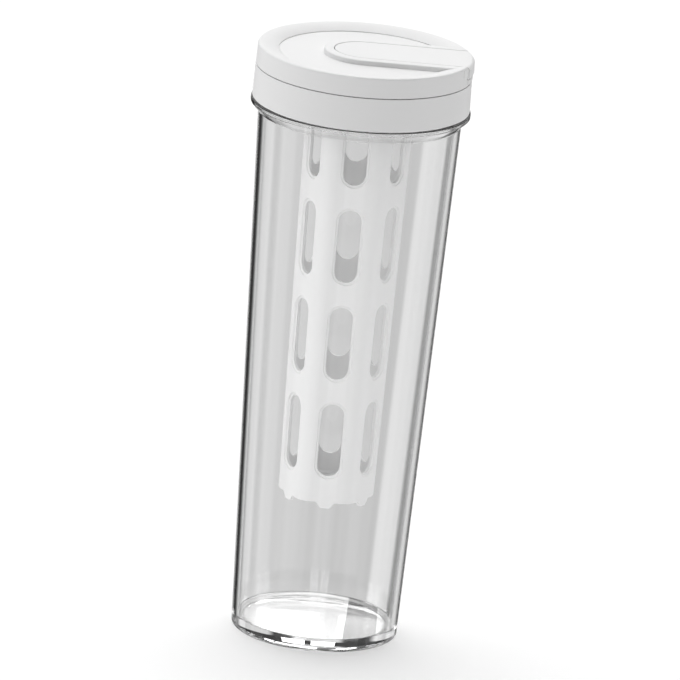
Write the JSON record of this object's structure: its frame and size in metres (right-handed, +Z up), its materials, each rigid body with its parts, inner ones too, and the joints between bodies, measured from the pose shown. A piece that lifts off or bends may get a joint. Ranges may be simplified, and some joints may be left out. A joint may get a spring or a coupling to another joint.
{
  "type": "cold brew bottle",
  "caption": "Tall clear tapered bottle with a white two-tier screw lid, a flush flip lever over the spout and a slotted hexagonal infuser hanging inside.",
  "frame": {"origin": "centre of the bottle's foot, on the surface it stands on", "axes": "+Z up along the bottle's axis, +X towards the lever's thumb nose and the spout"},
  "size_m": [0.095, 0.095, 0.2612],
  "materials": {
    "clear_plastic": "clear, polished, colourless",
    "white_plastic": "white, fine satin",
    "infuser_plastic": "white, smooth satin",
    "silicone": "pale, matt",
    "steel": "drawn wire"
  },
  "bodies": {
    "bottle": {"bottle_body": "clear_plastic"},
    "neck_gasket": {"neck_seal": "silicone"},
    "collar": {"lid_collar": "white_plastic"},
    "cap_gasket": {"cap_seal": "silicone"},
    "cap": {"lid_cap": "white_plastic", "hinge_pin": "steel"},
    "lever": {"flip_lever": "white_plastic", "spout_plug": "silicone"},
    "infuser": {"infuser_basket": "infuser_plastic"}
  },
  "joints": [
    {"name": "lid_lift", "type": "slide", "parent": "bottle", "child": "neck_gasket", "axis": [0, 0, 1], "range_m": [0, 0.21]},
    {"name": "lid_turn", "type": "hinge", "parent": "neck_gasket", "child": "collar", "pos_m": [0, 0, 0.2479], "axis": [0, 0, 1], "range_deg": [0, 360]},
    {"name": "cap_lift", "type": "slide", "parent": "collar", "child": "cap_gasket", "axis": [0, 0, 1], "range_m": [0, 0.03]},
    {"name": "cap_turn", "type": "hinge", "parent": "cap_gasket", "child": "cap", "pos_m": [0, 0, 0.2555], "axis": [0, 0, 1], "range_deg": [0, 360]},
    {"name": "lever_flip", "type": "hinge", "parent": "cap", "child": "lever", "pos_m": [0, 0, 0.25925], "axis": [0, -1, 0], "range_deg": [0, 100]},
    {"name": "infuser_pull", "type": "slide", "parent": "collar", "child": "infuser", "axis": [0, 0, -1], "range_m": [0, 0.05]}
  ]
}
